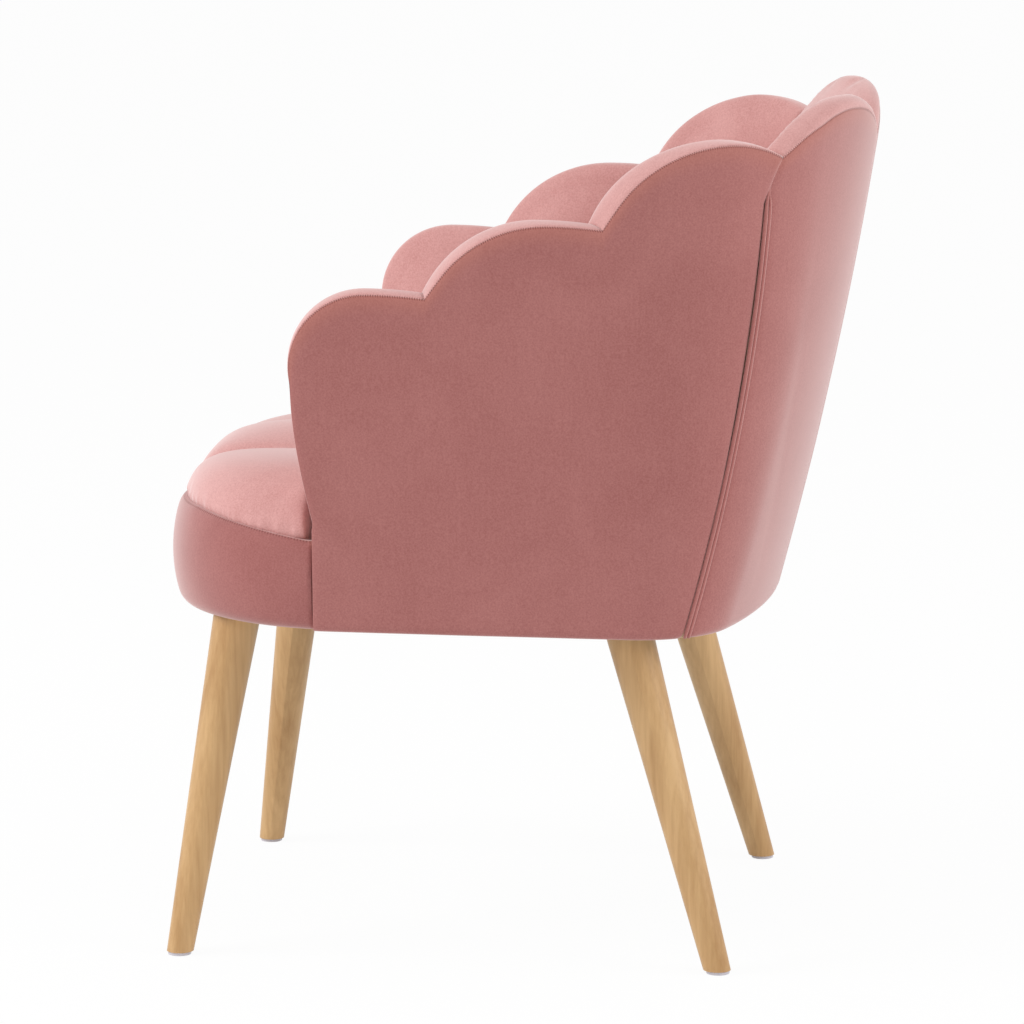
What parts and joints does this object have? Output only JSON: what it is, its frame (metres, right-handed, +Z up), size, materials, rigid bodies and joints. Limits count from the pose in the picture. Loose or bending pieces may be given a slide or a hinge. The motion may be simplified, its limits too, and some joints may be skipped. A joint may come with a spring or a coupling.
{
  "type": "scallop back tub chair",
  "caption": "Small upholstered tub chair with a scalloped shell back that rises in petals from the arms, a channelled seat with a round front, and splayed tapered wooden legs.",
  "frame": {"origin": "on the floor, under the centre of the chair's overall box", "axes": "+Z up, -Y to the front of the seat, +Y to the back, +X to the sitter's left-hand side"},
  "size_m": [0.545, 0.6435, 0.781],
  "materials": {
    "velvet": "dusty rose velvet",
    "leg_wood": "clear matt lacquer on pale hardwood",
    "glide_plastic": "matt",
    "frame_wood": "sawn and planed",
    "plywood": "raw plywood",
    "zinc_steel": "zinc plated",
    "webbing": "woven elastic",
    "dust_cloth": "thin non-woven cloth"
  },
  "bodies": {
    "root": {"corner_block_front_left": "frame_wood", "corner_block_front_right": "frame_wood", "corner_block_rear_left": "frame_wood", "corner_block_rear_right": "frame_wood", "dust_cover": "dust_cloth", "frame_screws": "zinc_steel", "glide_front_left": "glide_plastic", "glide_front_right": "glide_plastic", "glide_nails": "zinc_steel", "glide_rear_left": "glide_plastic", "glide_rear_right": "glide_plastic", "hanger_bolts": "zinc_steel", "leg_front_left": "leg_wood", "leg_front_right": "leg_wood", "leg_rear_left": "leg_wood", "leg_rear_right": "leg_wood", "outside_arm_cover_left": "velvet", "outside_arm_cover_right": "velvet", "outside_back_cover": "velvet", "petal_left_back": "velvet", "petal_left_corner": "velvet", "petal_left_front": "velvet", "petal_left_side": "velvet", "petal_right_back": "velvet", "petal_right_corner": "velvet", "petal_right_front": "velvet", "petal_right_side": "velvet", "seat_back_rail": "frame_wood", "seat_border": "velvet", "seat_front_rail": "frame_wood", "seat_pad": "velvet", "seat_side_rail_left": "frame_wood", "seat_side_rail_right": "frame_wood", "shell_board": "plywood", "t_nuts": "zinc_steel", "webbing_crosswise": "webbing", "webbing_lengthwise": "webbing", "welt_left": "velvet", "welt_right": "velvet"}
  },
  "joints": []
}
